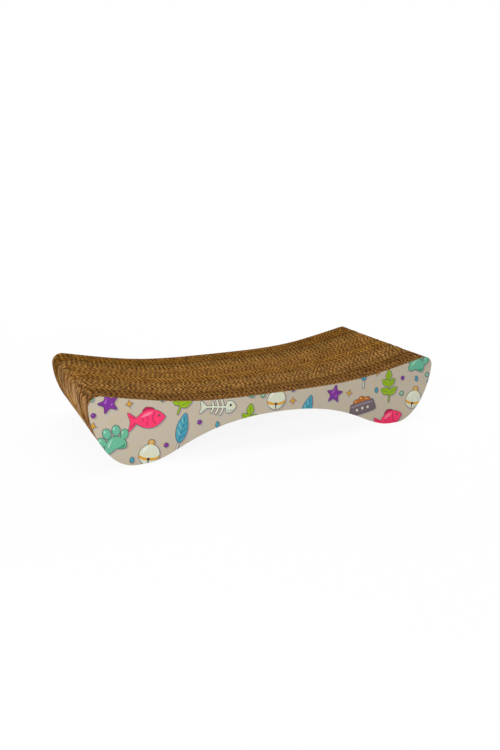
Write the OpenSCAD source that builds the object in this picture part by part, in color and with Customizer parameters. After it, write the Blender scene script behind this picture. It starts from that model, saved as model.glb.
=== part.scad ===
// Cardboard cat scratcher: a low lounge with a hollow seat, two high ends and an arch underneath.
// Equal corrugated boards stand on edge, side by side, glued face to face, and a printed sheet
// covers the front and the back.
// X runs along the lounge, Y across the boards from front to back, and Z up.
// The origin is on the floor, under the middle.

/* [Outline] */
// Length of the lounge from end to end
length = 560; // [400:5:800]
// Height of the crest above each end
crest_h = 105; // [92:1:150]
// Height of the seat in the middle
seat_h = 78; // [60:1:88]
// Height of the arch under the middle
arch_h = 48.5; // [20:0.5:54]
// Distance from each end to the middle of its foot
foot_inset = 68; // [50:1:90]
// Length of the flat that each foot stands on
foot_flat = 10; // [4:1:20]
// Radius of the round corner above each end
corner_r = 15; // [6:1:24]
// Slope at which the seat runs into that corner, in degrees
corner_slope = 12; // [2:1:20]

/* [Curves] */
// Share of the half seat over which the curve leaves the level middle
seat_share = 0.5; // [0.3:0.01:0.6]
// Share of the half seat over which the curve comes into the corner
crest_share = 0.45; // [0.2:0.01:0.5]
// Share of the end's height over which the curve leaves the upright
end_share = 0.37; // [0.2:0.01:0.6]
// Share of the overhang at the end over which the curve comes level with the foot
heel_share = 0.62; // [0.3:0.01:0.8]
// Share of the half arch over which the curve leaves the foot
toe_share = 0.245; // [0.1:0.005:0.4]
// Share of the half arch over which the curve comes level at the top of the arch
arch_share = 0.645; // [0.3:0.005:0.7]

/* [Boards] */
// Number of boards side by side
board_n = 36; // [4:1:50]
// Thickness of one board
board_t = 6.9; // [5:0.1:10]
// Distance from one flute to the next along the board
flute_pitch = 7.8; // [5:0.1:12]
// Depth of a flute
flute_d = 3.6; // [2:0.1:4.2]
// Width of the tip between two flutes, where the next board is glued on
glue_w = 1.2; // [0.4:0.1:2]
// Thickness of the printed sheet on the front and on the back
face_t = 0.4; // [0.2:0.1:1.5]

/* [Hidden] */
// Number of straight steps along each stretch of the outline
seat_steps = 14;
corner_steps = 5;
end_steps = 9;
arch_steps = 13;
// Each board's flutes start this share of a pitch further along than those of the board before
phase_share = 0.38;
// Flutes that run past the ends before the outline is cut, so that every phase covers the length
spare_flutes = 3;
// How far a cutting shape runs past what it cuts
over = 1;

top_angle = 90;
half_l = length / 2;
foot_x = half_l - foot_inset;
heel_x = foot_x + foot_flat / 2;
toe_x = foot_x - foot_flat / 2;
corner_x = half_l - corner_r;
corner_z = crest_h - corner_r;
width = board_n * board_t + 2 * face_t;
flute_n = ceil(length / flute_pitch) + spare_flutes;

two_digits = 10;
function board_name(i) = str("board_", i < two_digits ? "0" : "", i);

kraft = [0.62, 0.44, 0.24];
printed_card = [0.8, 0.76, 0.7];

// Point at the share t of the way from a to b
function between(a, b, t) = a + (b - a) * t;

// Point on the curve that leaves a towards b and comes into d from c
function bend(a, b, c, d, t) =
    let(ab = between(a, b, t), bc = between(b, c, t), cd = between(c, d, t))
    between(between(ab, bc, t), between(bc, cd, t), t);

// Points along that curve, all but the last
function curve(a, b, c, d, steps) = [for (i = [0:steps - 1]) bend(a, b, c, d, i / steps)];

// Points round the corner: where the seat runs in, then from its top over to the upright, all but the last
function corner_point(angle) = [corner_x + corner_r * cos(angle), corner_z + corner_r * sin(angle)];
function corner_curve() =
    concat([corner_point(top_angle + corner_slope)],
           [for (i = [0:corner_steps - 1]) corner_point(between(top_angle, 0, i / corner_steps))]);

// Seat, from its level middle up into the corner
function seat_curve() =
    let(end = corner_point(top_angle + corner_slope),
        back = [cos(corner_slope), sin(corner_slope)] * end.x * crest_share)
    curve([0, seat_h], [end.x * seat_share, seat_h], end - back, end, seat_steps);

// End, from the upright below the corner down and under to the foot
function end_curve() =
    curve([half_l, corner_z], [half_l, corner_z * (1 - end_share)],
          [between(heel_x, half_l, heel_share), 0], [heel_x, 0], end_steps);

// Arch, from the foot up to its level top in the middle
function arch_curve() =
    curve([toe_x, 0], [toe_x * (1 - toe_share), 0],
          [toe_x * arch_share, arch_h], [0, arch_h], arch_steps);

// Right half of the outline, from the middle of the seat round to the middle of the arch
function half_outline() =
    concat(seat_curve(), corner_curve(), end_curve(), [[heel_x, 0]], arch_curve(), [[0, arch_h]]);

function mirrored(points) = [for (i = [len(points) - 2:-1:1]) [-points[i].x, points[i].y]];

// Whole outline, seen from the front
module outline() {
    half = half_outline();
    polygon(concat(half, mirrored(half)));
}

// Sheet of the outline, with its front at y = 0
module cut_sheet(thickness) {
    translate([0, thickness, 0])
        rotate([90, 0, 0])
            linear_extrude(thickness)
                outline();
}

// Board seen from above: smooth in front, and behind it a row of flutes that are open to the next board
module board_plan(phase) {
    start = -half_l - flute_pitch * (1 + phase);
    tip = glue_w / 2;
    root = board_t - flute_d;
    polygon(concat(
        [[start - tip, 0]],
        [for (i = [0:flute_n]) let(x = start + i * flute_pitch)
            each [[x - tip, board_t], [x + tip, board_t], [x + flute_pitch / 2, root]]],
        [[start + (flute_n + 1) * flute_pitch, root], [start + (flute_n + 1) * flute_pitch, 0]]
    ));
}

// One corrugated board, cut to the outline, with its flutes running up and down
module board(i) {
    turns = i * phase_share;
    color(kraft)
        translate([0, face_t - width / 2 + (i - 1) * board_t, 0])
            intersection() {
                translate([0, 0, -over])
                    linear_extrude(crest_h + 2 * over)
                        board_plan(turns - floor(turns));
                translate([0, -over, 0])
                    cut_sheet(board_t + 2 * over);
            }
}

// Printed sheet glued on the first board
module printed_face_front() {
    color(printed_card)
        translate([0, -width / 2, 0])
            cut_sheet(face_t);
}

// Printed sheet glued on the last board
module printed_face_back() {
    color(printed_card)
        translate([0, width / 2 - face_t, 0])
            cut_sheet(face_t);
}

for (i = [1:board_n])
    board(i);
printed_face_front();
printed_face_back();
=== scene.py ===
import math
import random

import bmesh
import bpy
import numpy as np
from mathutils import Matrix, Vector
from mathutils.geometry import delaunay_2d_cdt


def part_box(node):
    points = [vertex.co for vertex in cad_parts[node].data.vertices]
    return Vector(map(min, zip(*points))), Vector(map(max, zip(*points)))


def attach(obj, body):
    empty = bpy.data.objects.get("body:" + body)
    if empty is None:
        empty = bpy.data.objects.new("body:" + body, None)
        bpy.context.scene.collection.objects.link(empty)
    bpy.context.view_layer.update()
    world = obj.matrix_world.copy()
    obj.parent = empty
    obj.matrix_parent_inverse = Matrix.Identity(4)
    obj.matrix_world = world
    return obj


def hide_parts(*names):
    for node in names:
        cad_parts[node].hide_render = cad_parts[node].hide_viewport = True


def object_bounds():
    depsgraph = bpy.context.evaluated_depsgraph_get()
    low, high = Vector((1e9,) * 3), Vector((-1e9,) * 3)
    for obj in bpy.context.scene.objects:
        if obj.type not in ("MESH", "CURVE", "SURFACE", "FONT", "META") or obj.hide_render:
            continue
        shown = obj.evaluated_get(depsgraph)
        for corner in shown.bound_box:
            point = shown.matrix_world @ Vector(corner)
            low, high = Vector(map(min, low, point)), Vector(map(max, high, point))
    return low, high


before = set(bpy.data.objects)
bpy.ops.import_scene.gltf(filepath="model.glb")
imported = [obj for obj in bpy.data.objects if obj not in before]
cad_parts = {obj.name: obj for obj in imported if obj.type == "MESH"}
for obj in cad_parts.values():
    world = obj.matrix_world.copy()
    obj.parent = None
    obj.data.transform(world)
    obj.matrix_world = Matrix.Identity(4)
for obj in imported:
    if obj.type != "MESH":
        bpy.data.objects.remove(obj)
cadLow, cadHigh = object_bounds()
mm = 0.001
bpy.context.scene.view_settings.view_transform = "Standard"


# Operators act on the whole selection, so each piece starts from an empty one
def pickOnly(piece):
    bpy.ops.object.select_all(action="DESELECT")
    piece.select_set(True)
    bpy.context.view_layer.objects.active = piece


def applyAll(piece):
    pickOnly(piece)
    for modifier in list(piece.modifiers):
        bpy.ops.object.modifier_apply(modifier=modifier.name)


def joinAs(name, pieces):
    pickOnly(pieces[0])
    for piece in pieces[1:]:
        piece.select_set(True)
    bpy.ops.object.join()
    joined = bpy.context.object
    joined.name = name
    joined.data.name = name
    return joined


def dress(piece, node):
    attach(piece, "root")
    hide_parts(node)


# Colour as a paint chart gives it, 0 to 255, turned into light values
def chart(red, green, blue):
    def toLight(value):
        share = value / 255
        return share / 12.92 if share <= 0.04045 else ((share + 0.055) / 1.055) ** 2.4
    return (toLight(red), toLight(green), toLight(blue), 1)


print("outline")
outlineValues = {
    "stepsPerStretch": 3,      # straight steps between two points of the frame's outline
    "endClearance": 0.2 * mm,  # the boards stop this far short of the frame's ends
    "samePoint": 0.01 * mm,    # corners of the frame's sheet that lie closer than this are one
    "frontFacing": -0.9,       # the normal of a face on the sheet's front has a y below this
}


# Points round the front sheet of the frame, in order
def readOutline():
    sheet = bmesh.new()
    sheet.from_mesh(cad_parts["printed_face_front"].data)
    bmesh.ops.remove_doubles(sheet, verts=sheet.verts, dist=outlineValues["samePoint"])
    rim = [edge for edge in sheet.edges
           if sum(face.normal.y < outlineValues["frontFacing"] for face in edge.link_faces) == 1]
    neighbours = {}
    for edge in rim:
        for here, there in (edge.verts, reversed(edge.verts)):
            neighbours.setdefault((here.co.x, here.co.z), []).append((there.co.x, there.co.z))
    start = min(neighbours)
    loop, before, here = [start], None, start
    while True:
        ahead = next(point for point in neighbours[here] if point != before)
        if ahead == start:
            break
        loop.append(ahead)
        before, here = here, ahead
    sheet.free()
    return loop


# Closed curve through the points, with some steps between each two
def smoothLoop(points, steps):
    curve = []
    for i in range(len(points)):
        a, b, c, d = (np.array(points[(i + k) % len(points)]) for k in (-1, 0, 1, 2))
        for step in range(steps):
            t = step / steps
            curve.append(0.5 * (2 * b + (c - a) * t + (2 * a - 5 * b + 4 * c - d) * t ** 2
                                + (3 * b - a - 3 * c + d) * t ** 3))
    return np.array(curve)


outline = smoothLoop(readOutline(), outlineValues["stepsPerStretch"])
outline[:, 0] = np.clip(outline[:, 0], cadLow.x, cadHigh.x)
outline[:, 1] = np.clip(outline[:, 1], cadLow.z, cadHigh.z)
# It starts at the left end, and parts there and at the right end into a lower and an upper side
outline = np.roll(outline, -int(outline[:, 0].argmin()), axis=0)
farEnd = int(outline[:, 0].argmax())
oneSide = outline[:farEnd + 1]
otherSide = np.vstack([outline[farEnd:], outline[:1]])[::-1]
lowSide, highSide = sorted((oneSide, otherSide), key=lambda side: side[:, 1].mean())
boardEnd = cadHigh.x - outlineValues["endClearance"]


# Heights of the lower and of the upper cut at x
def cutHeights(x):
    return np.interp(x, lowSide[:, 0], lowSide[:, 1]), np.interp(x, highSide[:, 0], highSide[:, 1])


print("cardboard")
kraftValues = {
    # darkest and lightest fibre of the smooth sheets and of the wavy ones, and of their cut edges
    # the smooth sheets are darker than plain kraft: partly their own paper, partly painted shade for the
    # channels
    "liner": (chart(82, 46, 0), chart(104, 64, 0)),
    "linerCut": (chart(104, 64, 14), chart(138, 96, 40)),
    "wave": (chart(200, 158, 98), chart(232, 194, 138)),
    "waveCut": (chart(214, 178, 136), chart(248, 222, 190)),
    "core": (chart(112, 82, 46), chart(146, 112, 72)),
    "fibreScale": 520,             # fibres to the metre
    "fibreDetail": 4,
    "fibreStretch": (1, 1, 0.4),   # fibres and blotches are longer up and down
    "fibreStops": (0.3, 0.7),      # where the noise gives the darkest and the lightest fibre
    "blotchScale": 80,
    "blotchDetail": 2,
    "blotchStretch": (1, 1, 0.35),
    "blotchStops": (0.34, 0.66),
    "blotches": ((0.66, 0.62, 0.56, 1), (1.1, 1.1, 1.1, 1)),
    "roughness": 0.88,
    "gloss": 0.1,
    "faceBump": 0.08 * mm,
    "cutBump": 0.2 * mm,
    "bumpStrength": 0.5,
}


def newMaterial(name):
    material = bpy.data.materials.new(name)
    material.use_nodes = True
    return material, material.node_tree.nodes, material.node_tree.links


def noiseOn(nodes, links, place, scale, detail, stretch=(1, 1, 1)):
    mapping = nodes.new("ShaderNodeMapping")
    mapping.inputs["Scale"].default_value = stretch
    noise = nodes.new("ShaderNodeTexNoise")
    noise.inputs["Scale"].default_value = scale
    noise.inputs["Detail"].default_value = detail
    links.new(place, mapping.inputs["Vector"])
    links.new(mapping.outputs["Vector"], noise.inputs["Vector"])
    return noise.outputs["Fac"]


def rampOf(nodes, links, factor, stops):
    stops = list(stops)
    ramp = nodes.new("ShaderNodeValToRGB")
    while len(ramp.color_ramp.elements) < len(stops):
        ramp.color_ramp.elements.new(0.5)
    for element, (place, colour) in zip(ramp.color_ramp.elements, stops):
        element.position = place
        element.color = colour
    links.new(factor, ramp.inputs["Fac"])
    return ramp.outputs["Color"]


def multiplied(nodes, links, first, second):
    mix = nodes.new("ShaderNodeMix")
    mix.data_type = "RGBA"
    mix.blend_type = "MULTIPLY"
    mix.inputs["Factor"].default_value = 1
    links.new(first, mix.inputs["A"])
    links.new(second, mix.inputs["B"])
    return mix.outputs["Result"]


def colourFrom(nodes, name):
    attribute = nodes.new("ShaderNodeAttribute")
    attribute.attribute_name = name
    return attribute.outputs["Color"]


# Paper of this colour, with the relief of a noise
def finishPaper(nodes, links, colour, relief, depth, values):
    shader = nodes["Principled BSDF"]
    shader.inputs["Roughness"].default_value = values["roughness"]
    shader.inputs["Specular IOR Level"].default_value = values["gloss"]
    bump = nodes.new("ShaderNodeBump")
    bump.inputs["Distance"].default_value = depth
    bump.inputs["Strength"].default_value = values["bumpStrength"]
    links.new(colour, shader.inputs["Base Color"])
    links.new(relief, bump.inputs["Height"])
    links.new(bump.outputs["Normal"], shader.inputs["Normal"])


def kraftMaterial(name, colours, bumpDepth, withTintAndPaintedLight=True):
    material, nodes, links = newMaterial(name)
    place = nodes.new("ShaderNodeTexCoord").outputs["Object"]
    fibres = noiseOn(nodes, links, place, kraftValues["fibreScale"], kraftValues["fibreDetail"],
                     kraftValues["fibreStretch"])
    blotches = noiseOn(nodes, links, place, kraftValues["blotchScale"], kraftValues["blotchDetail"],
                       kraftValues["blotchStretch"])
    paper = rampOf(nodes, links, fibres, zip(kraftValues["fibreStops"], colours))
    shade = rampOf(nodes, links, blotches, zip(kraftValues["blotchStops"], kraftValues["blotches"]))
    colour = multiplied(nodes, links, paper, shade)
    # The board's tint attribute also carries painted light and painted shade
    if withTintAndPaintedLight:
        colour = multiplied(nodes, links, colour, colourFrom(nodes, "tintAndPaintedLight"))
    finishPaper(nodes, links, colour, fibres, bumpDepth, kraftValues)
    return material


# Each sheet of paper has one material on its faces and one on its cut edges
linerPapers = (kraftMaterial("linerPaper", kraftValues["liner"], kraftValues["faceBump"]),
               kraftMaterial("linerCut", kraftValues["linerCut"], kraftValues["cutBump"]))
wavePapers = (kraftMaterial("wavePaper", kraftValues["wave"], kraftValues["faceBump"]),
              kraftMaterial("waveCut", kraftValues["waveCut"], kraftValues["cutBump"]))
cardCore = kraftMaterial("cardCore", kraftValues["core"], kraftValues["cutBump"], withTintAndPaintedLight=False)

boardValues = {
    "linerPaper": 0.36 * mm,
    "wavePaper": 0.32 * mm,
    "coarsePitch": 7.8 * mm,
    "finePitch": 6.4 * mm,
    "coarseShare": 0.6,            # share of the room between the liners that the coarse wave takes
    "flippedShare": 0.3,           # share of the boards that stand with the fine wave in front
    "pitchWander": 0.35,           # how far the waves drift, in radians
    "wanderLength": 190 * mm,
    "stepsPerWave": 10,
    "columnDecimals": 5,           # of a metre, so columns stand on whole hundredths of a millimetre
    "endColumn": 0.3 * mm,         # the last column of a smooth sheet is at least this wide
    "cornerReach": 12 * mm,        # this near the ends, wavy sheets have the smooth ones' columns too
    "smoothAngle": 35,             # degrees
    "roughCut": 0.22 * mm,         # how far a cut edge dips at random
    "footHeight": 2 * mm,          # below this the cut is true, so that the feet stand flat
    "leastHeight": 0.5 * mm,
    "highestSink": 0.8 * mm,       # how far a board's cut may lie inside its neighbours'
    "endSink": 0.7 * mm,           # and how far its ends may
    "mostShift": 0.25 * mm,        # how far a board may stand to one side
    "rowWander": 0.45 * mm,        # how far a row of boards bows sideways
    "rowLength": 330 * mm,
    "rowTwist": 9,                 # how far that bow moves on from front to back, in radians
    "tintSpread": 0.05,            # how far a board's tint may be from its bundle's
    "paintedEndLight": (0.82, 0.94, 1.8),  # painted light: the cut underneath and at the ends is paler and greyer by this
    "paintedEndLinerLight": 1.7,               # and there the smooth sheets get more painted light, paler again by this
    "paintedEndReach": 14 * mm,          # how far that painted light reaches in from the ends
    "seed": 11,
}
# The boards come from different sheets, so each bundle has its own paper. Contrast is how much darker
# its smooth sheets are on top, and how much lighter its wavy ones: partly a two-tone paper, and partly
# painted shade in the channels between the waves.
bundles = [
    {"boards": 3, "tint": (0.60, 0.41, 0.20), "twoToneAndShade": 0.4},
    {"boards": 3, "tint": (0.65, 0.49, 0.20), "twoToneAndShade": 0.0},
    {"boards": 3, "tint": (0.76, 0.56, 0.24), "twoToneAndShade": 0.3},
    {"boards": 3, "tint": (0.92, 0.73, 0.38), "twoToneAndShade": 0.15},
    {"boards": 3, "tint": (1.01, 0.82, 0.35), "twoToneAndShade": -0.15},
    {"boards": 3, "tint": (0.96, 0.72, 0.23), "twoToneAndShade": 0.15},
    {"boards": 4, "tint": (0.89, 0.69, 0.28), "twoToneAndShade": 0.0},
    {"boards": 5, "tint": (0.86, 0.65, 0.25), "twoToneAndShade": 0.25},
    {"boards": 3, "tint": (0.73, 0.56, 0.23), "twoToneAndShade": 0.2},
    {"boards": 3, "tint": (0.55, 0.35, 0.07), "twoToneAndShade": 0.5},
    {"boards": 3, "tint": (0.61, 0.43, 0.10), "twoToneAndShade": 0.5},
]
boardNames = sorted(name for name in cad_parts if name.startswith("board_"))
frontY, backY = cadLow.y, cadHigh.y


# Sideways bow of the rows, which dies out at the front and the back of the block
def rowBow(x, y):
    depth = backY - frontY
    inward = np.sin(np.pi * (y - frontY) / depth)
    turn = 2 * np.pi * x / boardValues["rowLength"] + boardValues["rowTwist"] * y / depth
    return boardValues["rowWander"] * inward * np.sin(turn)


# One upright sheet of paper: a grid whose columns stand at xs, bent along ys and cut to the outline.
# Its first row is the lower edge and its second row the upper one, and each has its own tint, with painted
# light and shade in it.
def paperSheet(papers, toneAndPaintedLight, xs, ys, thickness, cut, dice):
    bpy.ops.mesh.primitive_grid_add(x_subdivisions=len(xs) - 1, y_subdivisions=1, size=1)
    sheet = bpy.context.object
    low, high = cutHeights(xs)
    rough = boardValues["roughCut"]
    low = low + dice.uniform(0, rough, len(xs)) * (low > boardValues["footHeight"])
    high = high - cut["sink"] - dice.uniform(0, rough, len(xs))
    high = np.maximum(high, low + boardValues["leastHeight"])
    places = np.zeros((2, len(xs), 3))
    places[:, :, 0] = np.clip(xs * (1 - cut["endSink"] / boardEnd) + cut["shift"], -boardEnd, boardEnd)
    places[:, :, 1] = ys + rowBow(xs, ys)
    places[0, :, 2] = low
    places[1, :, 2] = high
    sheet.data.vertices.foreach_set("co", places.astype(np.float32).ravel())
    sheet.data.update()
    # Near the ends the upper edge takes the painted light of the lower edge
    paintedEndShare = np.clip((abs(xs) - boardEnd) / boardValues["paintedEndReach"] + 1, 0, 1)[:, None]
    shades = np.ones((2, len(xs), 4))
    shades[0, :, :3] = toneAndPaintedLight[0]
    shades[1, :, :3] = toneAndPaintedLight[0] * paintedEndShare + toneAndPaintedLight[1] * (1 - paintedEndShare)
    # Tint of the paper, with the painted light and shade of its edges
    colours = sheet.data.attributes.new("tintAndPaintedLight", "FLOAT_COLOR", "POINT")
    colours.data.foreach_set("color", shades.astype(np.float32).ravel())
    for paper in papers:
        sheet.data.materials.append(paper)
    wall = sheet.modifiers.new("Paper", "SOLIDIFY")
    wall.thickness = thickness
    wall.offset = 0
    wall.material_offset_rim = 1
    applyAll(sheet)
    return sheet


def uniqueColumns(*xs):
    return np.unique(np.round(np.concatenate(xs), boardValues["columnDecimals"]))


def linerColumns():
    xs = uniqueColumns(lowSide[:, 0], highSide[:, 0])
    xs = xs[abs(xs) < boardEnd - boardValues["endColumn"]]
    return np.concatenate([[-boardEnd], xs, [boardEnd]])


def waveColumns(pitch):
    count = int(2 * boardEnd / pitch * boardValues["stepsPerWave"])
    xs = np.linspace(-boardEnd, boardEnd, count)
    corner = linerColumns()
    corner = corner[abs(corner) > boardEnd - boardValues["cornerReach"]]
    return uniqueColumns(xs, corner)


# Three smooth sheets with two wavy ones between them
def makeBoard(node, bundle, dice):
    low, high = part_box(node)
    thickness = high.y - low.y
    liner, wave = boardValues["linerPaper"], boardValues["wavePaper"]
    room = thickness - 3 * liner
    waves = [(room * boardValues["coarseShare"], boardValues["coarsePitch"]),
             (room * (1 - boardValues["coarseShare"]), boardValues["finePitch"])]
    if dice.uniform() < boardValues["flippedShare"]:
        waves.reverse()
    # The first and the last board are as high as the printed sheets on them
    besideSheet = low.y - frontY < thickness or backY - high.y < thickness
    cut = {"sink": dice.uniform(0, boardValues["highestSink"]) * (not besideSheet),
           "endSink": dice.uniform(0, boardValues["endSink"]),
           "shift": dice.uniform(-1, 1) * boardValues["mostShift"]}
    spread = boardValues["tintSpread"]
    tint = np.multiply(bundle["tint"], dice.uniform(1 - spread, 1 + spread, 3))
    # Painted light makes the paper underneath and at the ends paler and greyer. On top, the bundle's contrast
    # darkens the smooth sheets and lightens the wavy ones, partly two-tone paper and partly painted shade.
    paintedEndLight = tint * boardValues["paintedEndLight"]
    linerToneAndPaintedLight = (paintedEndLight * boardValues["paintedEndLinerLight"], tint * (1 - bundle["twoToneAndShade"]))
    waveToneAndPaintedLight = (paintedEndLight, tint * (1 + bundle["twoToneAndShade"]))
    linerXs = linerColumns()
    wander = dice.uniform(0, 2 * np.pi)

    def linerSheet(y):
        ys = np.full(len(linerXs), y + liner / 2)
        return paperSheet(linerPapers, linerToneAndPaintedLight, linerXs, ys, liner, cut, dice)

    sheets = []
    y = low.y
    for depth, pitch in waves:
        sheets.append(linerSheet(y))
        y += liner
        xs = waveColumns(pitch)
        angle = 2 * np.pi * (xs / pitch + dice.uniform())
        drift = np.sin(2 * np.pi * xs / boardValues["wanderLength"] + wander)
        angle = angle + boardValues["pitchWander"] * drift
        ys = y + depth / 2 + (depth - wave) / 2 * np.sin(angle)
        sheets.append(paperSheet(wavePapers, waveToneAndPaintedLight, xs, ys, wave, cut, dice))
        y += depth
    sheets.append(linerSheet(y))
    board = joinAs(node + "_paper", sheets)
    bpy.ops.object.shade_smooth_by_angle(angle=math.radians(boardValues["smoothAngle"]))
    dress(board, node)


dice = np.random.default_rng(boardValues["seed"])
bundleOf = [bundle for bundle in bundles for _ in range(bundle["boards"])]
for number, node in enumerate(boardNames):
    makeBoard(node, bundleOf[min(number, len(bundleOf) - 1)], dice)
print("boards:", len(boardNames))

print("printed sheets")
printValues = {
    # lengths are in millimetres, apart from those with a unit, and turns are in degrees
    "columnStep": 50,         # from one column of motifs to the next
    "columnDrop": 0.5,        # every other column stands lower by this share of a row
    "rowStep": 56,
    "firstRow": 10,
    "looseness": 3,           # how far a motif or an ornament may lie from its place
    "mostTurn": 16,
    "smallColumns": 2,        # columns of ornaments to one of motifs
    "smallRows": 4,           # rows of ornaments to one of motifs
    "smallLevels": (-1, 9),   # the first row of ornaments, and the one past the last
    "smallRise": 7,           # every other column of ornaments stands this much higher
    "smallRoom": 8,           # an ornament's middle lies at least this far from the motifs
    "smallTurn": 20,
    "lineWidth": 0.8,         # of the dark line round a motif
    "shadowWidth": 1.5,
    "shadowShift": (1.3, -1.3),
    "curveSteps": 3,          # straight steps between two points of a shape
    "strokeSteps": 2,
    "ovalSteps": 10,          # a small oval has this many, and a large one more
    "samePoint": 1e-5,        # corners of shapes that lie closer than this are one
    "border": 0.3,            # width of the soft edge of the sheet
    "edgeDrop": 0.12 * mm,    # how far the edge is pressed back
    "mottlingScale": 130,
    "mottlingDetail": 5,
    "mottling": [(0.34, (0.93, 0.95, 1, 1)), (0.52, (0.98, 0.96, 0.94, 1)), (0.68, (1, 0.93, 0.82, 1))],
    "grainScale": 900,
    "grainDetail": 3,
    "grain": [(0.38, (0.93, 0.91, 0.82, 1)), (0.6, (1, 1, 1, 1))],
    "roughness": 0.62,
    "gloss": 0.3,
    "grainBump": 0.05 * mm,
    "bumpStrength": 0.4,
}
printedSheets = [   # name, node it stands for, seed, first column of motifs
    ("printed_sheet_front", "printed_face_front", 5, 0),
    ("printed_sheet_back", "printed_face_back", 8, 6),
]
inks = {
    "paper": chart(197, 187, 171),
    "edge": chart(186, 169, 145),
    "shadow": chart(174, 164, 164),
    "line": chart(62, 50, 64),
    "teal": chart(104, 186, 156),
    "mint": chart(160, 216, 194),
    "deepTeal": chart(66, 146, 122),
    "pink": chart(255, 58, 116),
    "rose": chart(250, 130, 170),
    "deepPink": chart(186, 26, 84),
    "lime": chart(150, 188, 20),
    "deepLime": chart(92, 130, 14),
    "cream": chart(220, 226, 208),
    "chalk": chart(240, 242, 234),
    "stone": chart(176, 186, 172),
    "amber": chart(220, 164, 44),
    "honey": chart(242, 206, 110),
    "rust": chart(190, 104, 34),
    "blue": chart(70, 160, 188),
    "deepBlue": chart(34, 104, 136),
    "plum": chart(112, 98, 106),
    "lilac": chart(156, 142, 150),
    "purple": chart(126, 46, 156),
    "violet": chart(176, 104, 200),
}


# Shapes on the sheet are points in millimetres, across and up, in order to the left round the shape
def turned(points, degrees):
    turn = math.radians(degrees)
    across, up = np.array(points, float).T
    return np.stack([across * math.cos(turn) - up * math.sin(turn),
                     across * math.sin(turn) + up * math.cos(turn)], axis=1)


def leftRound(points):
    points = np.array(points, float)
    ahead = np.roll(points, -1, axis=0)
    area = np.sum(points[:, 0] * ahead[:, 1] - points[:, 1] * ahead[:, 0])
    return points if area > 0 else points[::-1]


def blob(*points):
    return leftRound(smoothLoop(points, printValues["curveSteps"]))


def oval(across, up, wide, high, turn=0):
    steps = printValues["ovalSteps"] + int(max(wide, high))
    angles = np.linspace(0, 2 * np.pi, steps, endpoint=False)
    return turned(np.stack([wide * np.cos(angles), high * np.sin(angles)], axis=1), turn) + (across, up)


def leaf(across, up, long, wide, turn):
    side = [(0.3 * wide, 0.12 * long), (0.5 * wide, 0.4 * long), (0.32 * wide, 0.76 * long)]
    other = [(-place, height) for place, height in side[::-1]]
    return turned(blob((0, 0), *side, (0, long), *other), turn) + (across, up)


def stroke(width, *points):
    line = np.array(points, float)
    ahead = np.gradient(line, axis=0)
    ahead = ahead / np.linalg.norm(ahead, axis=1)[:, None]
    aside = ahead[:, ::-1] * (-0.5 * width, 0.5 * width)
    startTip = line[:1] - ahead[:1] * width / 2
    endTip = line[-1:] + ahead[-1:] * width / 2
    rim = np.vstack([startTip, line + aside, endTip, (line - aside)[::-1]])
    return leftRound(smoothLoop(rim, printValues["strokeSteps"]))


def star(points, outer, inner):
    angles = np.pi / 2 + np.pi * np.arange(2 * points) / points
    reach = np.where(np.arange(2 * points) % 2, inner, outer)
    return np.stack([reach * np.cos(angles), reach * np.sin(angles)], axis=1)


# Shape with its outline moved outwards by the distance
def grown(points, distance):
    ahead = np.roll(points, -1, axis=0) - np.roll(points, 1, axis=0)
    ahead = ahead / np.linalg.norm(ahead, axis=1)[:, None]
    return points + ahead[:, ::-1] * (distance, -distance)


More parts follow.
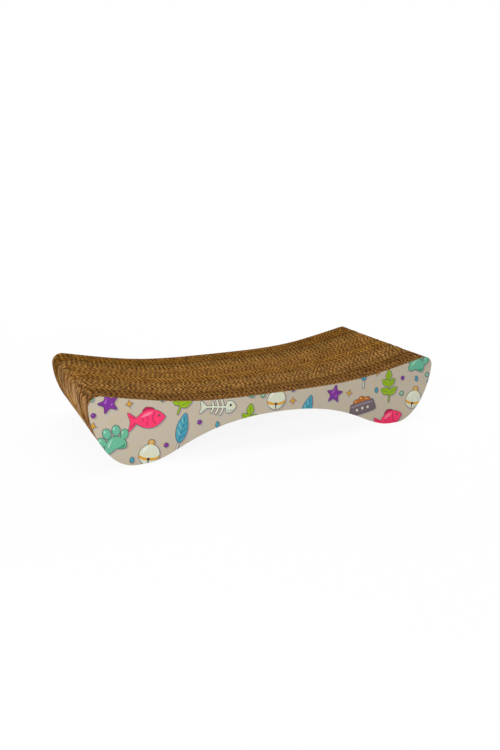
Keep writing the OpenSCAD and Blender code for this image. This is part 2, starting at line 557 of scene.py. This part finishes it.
# A motif is a list of bodies, which get the dark line and the shadow, and of marks drawn on them
motifs = {
    "paw": [
        ("body", "teal", blob((-13, -14), (-15, -5), (-8, 4), (0, 7), (8, 4), (15, -5), (13, -14),
                              (5, -13), (0, -11), (-5, -13))),
        ("body", "teal", oval(-16, 5, 5.2, 7, 20)),
        ("body", "teal", oval(16, 5, 5.2, 7, -20)),
        ("body", "teal", oval(-6.5, 14, 5.4, 7.6, 6)),
        ("body", "teal", oval(6.5, 14, 5.4, 7.6, -6)),
        ("mark", "mint", blob((-11, -6), (-8, 0), (-1, 4), (-5, -1), (-8, -5))),
        ("mark", "mint", oval(-17.5, 8, 1.3, 2.6, 20)),
        ("mark", "mint", oval(-8.5, 17.5, 1.4, 2.8, 6)),
        ("mark", "mint", oval(4.5, 17.5, 1.4, 2.8, -6)),
        ("mark", "mint", oval(14, 8, 1.3, 2.6, -20)),
        ("mark", "deepTeal", blob((1, -11.6), (7, -12.6), (12, -12.5), (13, -7), (10, -9.5))),
    ],
    "fish": [
        ("body", "pink", blob((-13, 0), (-20, 8), (-27, 13), (-24, 0), (-27, -13), (-20, -8))),
        ("body", "deepPink", blob((-6, 10), (-2, 17), (8, 15), (9, 11))),
        ("body", "pink", blob((-17, 0), (-9, 9), (3, 13), (15, 10), (24, 2), (24.5, -2), (15, -10),
                              (3, -13), (-9, -9))),
        ("mark", "rose", blob((-9, 4), (-1, 9), (8, 9), (1, 5))),
        ("mark", "deepPink", stroke(1.2, (11, 8.5), (8, 3), (8, -3), (11, -8))),
        ("mark", "deepPink", stroke(1, (-8, 3), (-5.5, 0), (-8, -3))),
        ("mark", "deepPink", stroke(1, (-1, 4), (1.5, 1), (-1, -2))),
        ("mark", "deepPink", stroke(1, (-2, -4), (0.5, -7), (-2, -9.5))),
        ("mark", "deepPink", stroke(1, (-17, 3), (-20, 5), (-24, 8))),
        ("mark", "deepPink", stroke(1, (-17, -3), (-20, -5), (-24, -8))),
        ("mark", "line", oval(17, 3, 1.7, 1.9)),
        ("mark", "paper", oval(17.6, 3.7, 0.6, 0.6)),
    ],
    "bones": [
        ("body", "cream", stroke(2.8, (-19, 0), (-8, 0.3), (4, 0), (15, 0))),
        ("body", "cream", stroke(2.6, (-9, 7.5), (-7, 3.5), (-6.5, 0), (-7, -3.5), (-9, -7.5))),
        ("body", "cream", stroke(2.6, (-2, 9.5), (0.4, 4.5), (1, 0), (0.4, -4.5), (-2, -9.5))),
        ("body", "cream", stroke(2.6, (5, 10.5), (7.8, 5), (8.5, 0), (7.8, -5), (5, -10.5))),
        ("body", "cream", blob((-16, 0), (-21, 6), (-27, 9), (-24.5, 0), (-27, -9), (-21, -6))),
        ("body", "cream", blob((13, 0), (15, 8), (22, 8.5), (28, 3), (28, -2), (22, -8), (15, -8))),
        ("mark", "stone", blob((14.5, -4), (17, -6.5), (22, -6.5), (26, -3), (21, -4.5))),
        ("mark", "line", oval(20.5, 2.6, 1.8, 2)),
        ("mark", "stone", stroke(0.9, (-19, 2), (-21.5, 4), (-24, 6))),
        ("mark", "stone", stroke(0.9, (-19, -2), (-21.5, -4), (-24, -6))),
    ],
    "sprig": [
        ("body", "lime", stroke(2, (0, -26), (1.4, -12), (-1, 2), (0, 14))),
        ("body", "lime", leaf(0, 9, 17, 11, 0)),
        ("body", "lime", leaf(0.6, 1, 16, 10, 52)),
        ("body", "lime", leaf(-0.6, -1, 16, 10, -50)),
        ("body", "lime", leaf(1, -13, 18, 11, 58)),
        ("body", "lime", leaf(0.6, -15, 18, 11, -58)),
        ("mark", "deepLime", stroke(0.9, (0, 10), (0.2, 16), (0, 22))),
        ("mark", "deepLime", stroke(0.9, (-1.5, 2.2), (-6, 5.8), (-9.5, 8.6))),
        ("mark", "deepLime", stroke(0.9, (1.5, 0.2), (6, 4), (9.5, 7))),
        ("mark", "deepLime", stroke(0.9, (-1.5, -11.5), (-7, -8), (-11.5, -5.4))),
        ("mark", "deepLime", stroke(0.9, (3, -13.5), (9, -9.9), (13, -7.4))),
    ],
    "bell": [
        ("body", "amber", oval(0, 17.5, 4.6, 4.6)),
        ("body", "cream", oval(0, 0, 15, 15)),
        ("mark", "paper", oval(0, 18.6, 1.9, 1.9)),
        ("mark", "chalk", blob((-10.5, 2), (-9, 8.5), (-3, 12), (-6.5, 7))),
        ("mark", "stone", blob((0, -14.2), (6, -11.4), (10.5, -6.5), (13.4, 1), (14, -5), (9.6, -10.8))),
        ("mark", "amber", blob((-14.6, -1.5), (-8, -4), (0, -4.8), (8, -4), (14.6, -1.5), (14, -5),
                              (8, -7.8), (0, -8.6), (-8, -7.8), (-14, -5))),
        ("mark", "line", stroke(1.8, (0, -7), (0.1, -10), (0, -13.4))),
        ("mark", "line", oval(0, -6.6, 2.3, 2.3)),
    ],
    "feather": [
        ("body", "cream", stroke(1.8, (-3, -28), (-1.5, -21), (0, -12))),
        ("body", "blue", blob((-0.5, -17), (6, -10), (9, 3), (6.5, 17), (2, 27), (-4, 18), (-7.5, 6),
                              (-6.5, -8))),
        ("mark", "deepBlue", stroke(1, (-1, -17), (0.6, -2), (1.6, 12), (1.8, 21))),
        ("mark", "deepBlue", stroke(0.8, (0.8, -2), (4, 1), (7.2, 5.5))),
        ("mark", "deepBlue", stroke(0.8, (1.2, 7), (4, 10), (6.2, 14))),
        ("mark", "deepBlue", stroke(0.8, (-0.2, -10), (3, -7.5), (6.2, -4))),
        ("mark", "mint", stroke(0.8, (0, -6), (-3, -3), (-5.6, 2))),
        ("mark", "mint", stroke(0.8, (0.8, 3), (-2.4, 6), (-4.8, 11))),
        ("mark", "mint", stroke(0.8, (1.4, 12), (-0.8, 15), (-2, 19))),
    ],
    "bowl": [
        ("body", "rust", oval(-10, 7, 5.6, 5)),
        ("body", "rust", oval(10, 7, 5.6, 5)),
        ("body", "rust", oval(0, 9.5, 6.4, 5.6)),
        ("body", "plum", blob((-19, 5.5), (0, 6.6), (19, 5.5), (21, 3), (24, -9), (21, -12.5), (0, -13.4),
                              (-21, -12.5), (-24, -9), (-21, 3))),
        ("mark", "honey", oval(-11, 9.4, 1.6, 1)),
        ("mark", "honey", oval(-1.4, 12.4, 2, 1.1)),
        ("mark", "honey", oval(9, 9.4, 1.6, 1)),
        ("mark", "lilac", blob((-18, 2.6), (0, 3.6), (18, 2.6), (18.6, 0.6), (0, 1.4), (-18.6, 0.6))),
        ("mark", "cream", oval(-10, -5.5, 2, 2.3)),
        ("mark", "cream", oval(0, -4.8, 2, 2.3)),
        ("mark", "cream", oval(10, -5.5, 2, 2.3)),
    ],
    "star": [
        ("body", "purple", blob(*star(5, 14.5, 7.2))),
        ("mark", "violet", blob((-5.4, 2.4), (-2.6, 5), (-0.6, 9.6), (-1.2, 4), (-4, 1))),
        ("mark", "violet", oval(3.6, -2.8, 1.6, 1.2, 30)),
    ],
    "ring": [
        ("body", "teal", oval(0, 0, 3.6, 3.6)),
        ("mark", "paper", oval(0, 0, 1.5, 1.5)),
    ],
    "spark": [("body", "amber", star(4, 5.6, 2))],
    "bead": [
        ("body", "purple", oval(0, 0, 3, 3)),
        ("mark", "violet", oval(-0.9, 1, 0.9, 0.7, 30)),
    ],
    "drop": [("body", "blue", leaf(0, -4, 8.4, 5.4, 0))],
}
# Motifs of each column, from the lowest row up
columnMotifs = [
    ("star", "paw", "star"),
    ("bell", "fish", "bowl"),
    ("paw", "feather", "sprig"),
    ("fish", "bones", "star"),
    ("bell", "sprig", "paw"),
    ("bowl", "bell", "fish"),
    ("star", "feather", "bones"),
    ("paw", "star", "bell"),
    ("sprig", "bowl", "feather"),
    ("fish", "sprig", "bones"),
    ("feather", "bell", "paw"),
]
ornaments = ["ring", "spark", "bead", "drop"]


# Each layer is an ink and a shape, and a later layer lies over the earlier ones
def motifLayers(parts, place, turn):
    parts = [(kind, ink, turned(shape, turn) + place) for kind, ink, shape in parts]
    bodies = [(ink, shape) for kind, ink, shape in parts if kind == "body"]
    shift = printValues["shadowShift"]
    yield from (("shadow", grown(shape, printValues["shadowWidth"]) + shift) for ink, shape in bodies)
    yield from (("line", grown(shape, printValues["lineWidth"])) for ink, shape in bodies)
    yield from bodies
    yield from ((ink, shape) for kind, ink, shape in parts if kind == "mark")


def sheetLayers(seed, firstColumn):
    dice = random.Random(seed)
    step, row, loose = printValues["columnStep"], printValues["rowStep"], printValues["looseness"]
    columns = len(columnMotifs) // 2
    layers = []
    for column in range(-columns, columns + 1):
        drop = printValues["columnDrop"] * (column % 2)
        for level, name in enumerate(columnMotifs[(column + columns + firstColumn) % len(columnMotifs)]):
            across = column * step + dice.uniform(-loose, loose)
            up = printValues["firstRow"] + (level - drop) * row + dice.uniform(-loose, loose)
            turn = dice.uniform(-printValues["mostTurn"], printValues["mostTurn"])
            layers += motifLayers(motifs[name], (across, up), turn)
    taken = np.vstack([shape for ink, shape in layers])
    smallStep, smallRow = step / printValues["smallColumns"], row / printValues["smallRows"]
    smallColumns = columns * printValues["smallColumns"] + 1
    for column in range(-smallColumns, smallColumns + 1):
        for level in range(*printValues["smallLevels"]):
            place = np.array([column * smallStep, level * smallRow + printValues["smallRise"] * (column % 2)])
            place += [dice.uniform(-loose, loose), dice.uniform(-loose, loose)]
            if np.linalg.norm(taken - place, axis=1).min() < printValues["smallRoom"]:
                continue
            turn = dice.uniform(-printValues["smallTurn"], printValues["smallTurn"])
            name = ornaments[(column + level) % len(ornaments)]
            ornament = list(motifLayers(motifs[name], place, turn))
            taken = np.vstack([taken, *(shape for ink, shape in ornament)])
            layers += ornament
    return layers


def cardMaterial():
    material, nodes, links = newMaterial("printedCard")
    place = nodes.new("ShaderNodeTexCoord").outputs["Object"]
    mottling = noiseOn(nodes, links, place, printValues["mottlingScale"], printValues["mottlingDetail"])
    grain = noiseOn(nodes, links, place, printValues["grainScale"], printValues["grainDetail"])
    tone = rampOf(nodes, links, mottling, printValues["mottling"])
    fleck = rampOf(nodes, links, grain, printValues["grain"])
    colour = multiplied(nodes, links, colourFrom(nodes, "ink"), tone)
    colour = multiplied(nodes, links, colour, fleck)
    finishPaper(nodes, links, colour, grain, printValues["grainBump"], printValues)
    return material


printedCard = cardMaterial()


# Points of the print in millimetres, and its triangles, each with the ink of the last layer over it
def printTriangles(seed, firstColumn):
    outer = leftRound(outline / mm)
    layers = [("edge", outer), ("paper", grown(outer, -printValues["border"]))]
    # Shapes that don't reach the sheet are left out
    for ink, shape in sheetLayers(seed, firstColumn):
        bottom, top = cutHeights(np.clip(shape[:, 0] * mm, cadLow.x, cadHigh.x))
        if np.any((shape[:, 1] * mm > bottom) & (shape[:, 1] * mm < top)):
            layers.append((ink, shape))
    coords, faces = [], []
    for ink, shape in layers:
        faces.append(list(range(len(coords), len(coords) + len(shape))))
        coords += [Vector(point) for point in shape]
    # 1 leaves out what lies outside every layer, and True asks for the layers over each triangle
    points, _, triangles, _, _, owners = delaunay_2d_cdt(
        coords, [], faces, 1, printValues["samePoint"], True)
    return points, [(triangle, inks[layers[max(owner)][0]])
                    for triangle, owner in zip(triangles, owners) if 0 in owner]


# Extruding leaves a rim's edges and faces in a new order each time, so all of them get a fixed one
def fixOrder(mesh):
    sheet = bmesh.new()
    sheet.from_mesh(mesh)
    for parts in (sheet.edges, sheet.faces):
        inOrder = sorted(parts, key=lambda part: sorted(corner.index for corner in part.verts))
        rank = {part: number for number, part in enumerate(inOrder)}
        parts.sort(key=lambda part: rank[part])
    sheet.to_mesh(mesh)
    sheet.free()


# Sheet cut to the outline, with every motif drawn by its own small faces. No operator draws those, so the
# print is a mesh of its own, and operators give it the pressed edge, the thickness and the back.
def printedSheet(name, node, seed, firstColumn):
    low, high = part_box(node)
    side = 1 if low.y < 0 else -1   # the back sheet is printed the other way round
    y = low.y if low.y < 0 else high.y
    points, inked = printTriangles(seed, firstColumn)
    mesh = bpy.data.meshes.new(name)
    mesh.from_pydata([(side * point.x * mm, y, point.y * mm) for point in points], [],
                     [triangle for triangle, ink in inked])
    colours = mesh.color_attributes.new("ink", "FLOAT_COLOR", "CORNER")
    colours.data.foreach_set("color", np.repeat([ink for _, ink in inked], 3, axis=0).ravel())
    mesh.materials.append(printedCard)
    mesh.materials.append(cardCore)
    sheet = bpy.data.objects.new(name, mesh)
    bpy.context.collection.objects.link(sheet)
    pickOnly(sheet)
    bpy.ops.object.mode_set(mode="EDIT")
    bpy.ops.mesh.select_all(action="SELECT")
    bpy.ops.mesh.delete_loose()
    bpy.ops.mesh.select_all(action="SELECT")
    bpy.ops.mesh.region_to_loop()
    bpy.ops.transform.translate(value=(0, side * printValues["edgeDrop"], 0))
    inward = side * (high.y - low.y - printValues["edgeDrop"])
    bpy.ops.mesh.extrude_edges_move(TRANSFORM_OT_translate={"value": (0, inward, 0)})
    bpy.ops.mesh.edge_face_add()
    bpy.ops.object.mode_set(mode="OBJECT")
    fixOrder(mesh)
    # Only the print is triangles: the rim and the back are bare card
    for face in mesh.polygons:
        face.material_index = 0 if len(face.vertices) == 3 else 1
    dress(sheet, node)


for sheetName, node, seed, firstColumn in printedSheets:
    printedSheet(sheetName, node, seed, firstColumn)

print("stage")
stageValues = {
    "floorSize": 8,
    "floorColour": chart(248, 248, 248),
    "floorRoughness": 0.8,
    "shadowShare": 0.1,     # how much of the shadow shows beside the object
    "shadowReach": 0.9,     # the floor is plain white this far from the middle
}


# The camera sees the floor as white, but for a share of its own shade near the object
def makeFloor():
    bpy.ops.mesh.primitive_plane_add(size=stageValues["floorSize"], location=(0, 0, cadLow.z))
    floor = bpy.context.object
    floor.name = "floor"
    material, nodes, links = newMaterial("paleFloor")
    plain = nodes["Principled BSDF"]
    plain.inputs["Base Color"].default_value = stageValues["floorColour"]
    plain.inputs["Roughness"].default_value = stageValues["floorRoughness"]
    white = nodes.new("ShaderNodeEmission")
    path = nodes.new("ShaderNodeLightPath")
    place = nodes.new("ShaderNodeTexCoord").outputs["Object"]
    mapping = nodes.new("ShaderNodeMapping")
    mapping.inputs["Scale"].default_value = (1 / stageValues["shadowReach"],) * 3
    fading = nodes.new("ShaderNodeTexGradient")
    fading.gradient_type = "SPHERICAL"
    links.new(place, mapping.inputs["Vector"])
    links.new(mapping.outputs["Vector"], fading.inputs["Vector"])
    whiteShare = nodes.new("ShaderNodeMath")
    whiteShare.operation = "MULTIPLY_ADD"
    whiteShare.inputs[1].default_value = -stageValues["shadowShare"]
    whiteShare.inputs[2].default_value = 1
    links.new(fading.outputs["Fac"], whiteShare.inputs[0])
    seen = nodes.new("ShaderNodeMath")
    seen.operation = "MULTIPLY"
    links.new(path.outputs["Is Camera Ray"], seen.inputs[0])
    links.new(whiteShare.outputs[0], seen.inputs[1])
    blend = nodes.new("ShaderNodeMixShader")
    links.new(seen.outputs[0], blend.inputs["Fac"])
    links.new(plain.outputs[0], blend.inputs[1])
    links.new(white.outputs[0], blend.inputs[2])
    links.new(blend.outputs[0], nodes["Material Output"].inputs["Surface"])
    floor.data.materials.append(material)


lightValues = {
    "ambient": 0.1,
    "aim": (0, 0, 0.05),   # the point that every lamp faces
    "lamps": [   # name, place, size in metres, watts
        ("keyLamp", (-1.55, -1.4, 0.75), 0.45, 30),
        ("backLamp", (1.6, 1.6, 0.8), 0.8, 32),
        ("topLamp", (0.2, 0.1, 2.4), 1.4, 30),
    ],
}


# Soft light all round, from a backdrop that is white wherever it is seen or mirrored
def makeWorld():
    world = bpy.data.worlds.new("studio")
    bpy.context.scene.world = world
    world.use_nodes = True
    nodes, links = world.node_tree.nodes, world.node_tree.links
    soft = nodes["Background"]
    soft.inputs["Color"].default_value = (1, 1, 1, 1)
    soft.inputs["Strength"].default_value = lightValues["ambient"]
    backdrop = nodes.new("ShaderNodeBackground")
    backdrop.inputs["Color"].default_value = (1, 1, 1, 1)
    backdrop.inputs["Strength"].default_value = 1
    path = nodes.new("ShaderNodeLightPath")
    seen = path.outputs["Is Camera Ray"]
    for ray in ("Is Glossy Ray", "Is Transmission Ray"):
        either = nodes.new("ShaderNodeMath")
        either.operation = "MAXIMUM"
        links.new(seen, either.inputs[0])
        links.new(path.outputs[ray], either.inputs[1])
        seen = either.outputs[0]
    blend = nodes.new("ShaderNodeMixShader")
    links.new(seen, blend.inputs["Fac"])
    links.new(soft.outputs[0], blend.inputs[1])
    links.new(backdrop.outputs[0], blend.inputs[2])
    links.new(blend.outputs[0], nodes["World Output"].inputs["Surface"])


def makeLamps():
    for name, place, size, power in lightValues["lamps"]:
        bpy.ops.object.light_add(type="AREA", location=place)
        lamp = bpy.context.object
        lamp.name = name
        lamp.data.size = size
        lamp.data.energy = power
        ahead = Vector(lightValues["aim"]) - Vector(place)
        lamp.rotation_euler = ahead.to_track_quat("-Z", "Y").to_euler()


cameraValues = {
    "place": (-0.4712, -1.0163, 0.3951),
    "turn": 25.465,    # degrees to the right of straight ahead
    "tilt": 16.115,    # degrees down
    "roll": 0.696,
    "lens": 34.484,    # in millimetres
    "sensor": 36,      # along the long side, in millimetres
}


def makeCamera():
    bpy.ops.object.camera_add()
    camera = bpy.context.object
    camera.name = "camera"
    camera.data.sensor_width = cameraValues["sensor"]
    camera.data.lens = cameraValues["lens"]
    camera.matrix_world = (Matrix.Translation(cameraValues["place"])
                           @ Matrix.Rotation(-math.radians(cameraValues["turn"]), 4, "Z")
                           @ Matrix.Rotation(math.radians(90 - cameraValues["tilt"]), 4, "X")
                           @ Matrix.Rotation(math.radians(cameraValues["roll"]), 4, "Z"))
    bpy.context.scene.camera = camera


makeFloor()
makeWorld()
makeLamps()
makeCamera()

print("done")
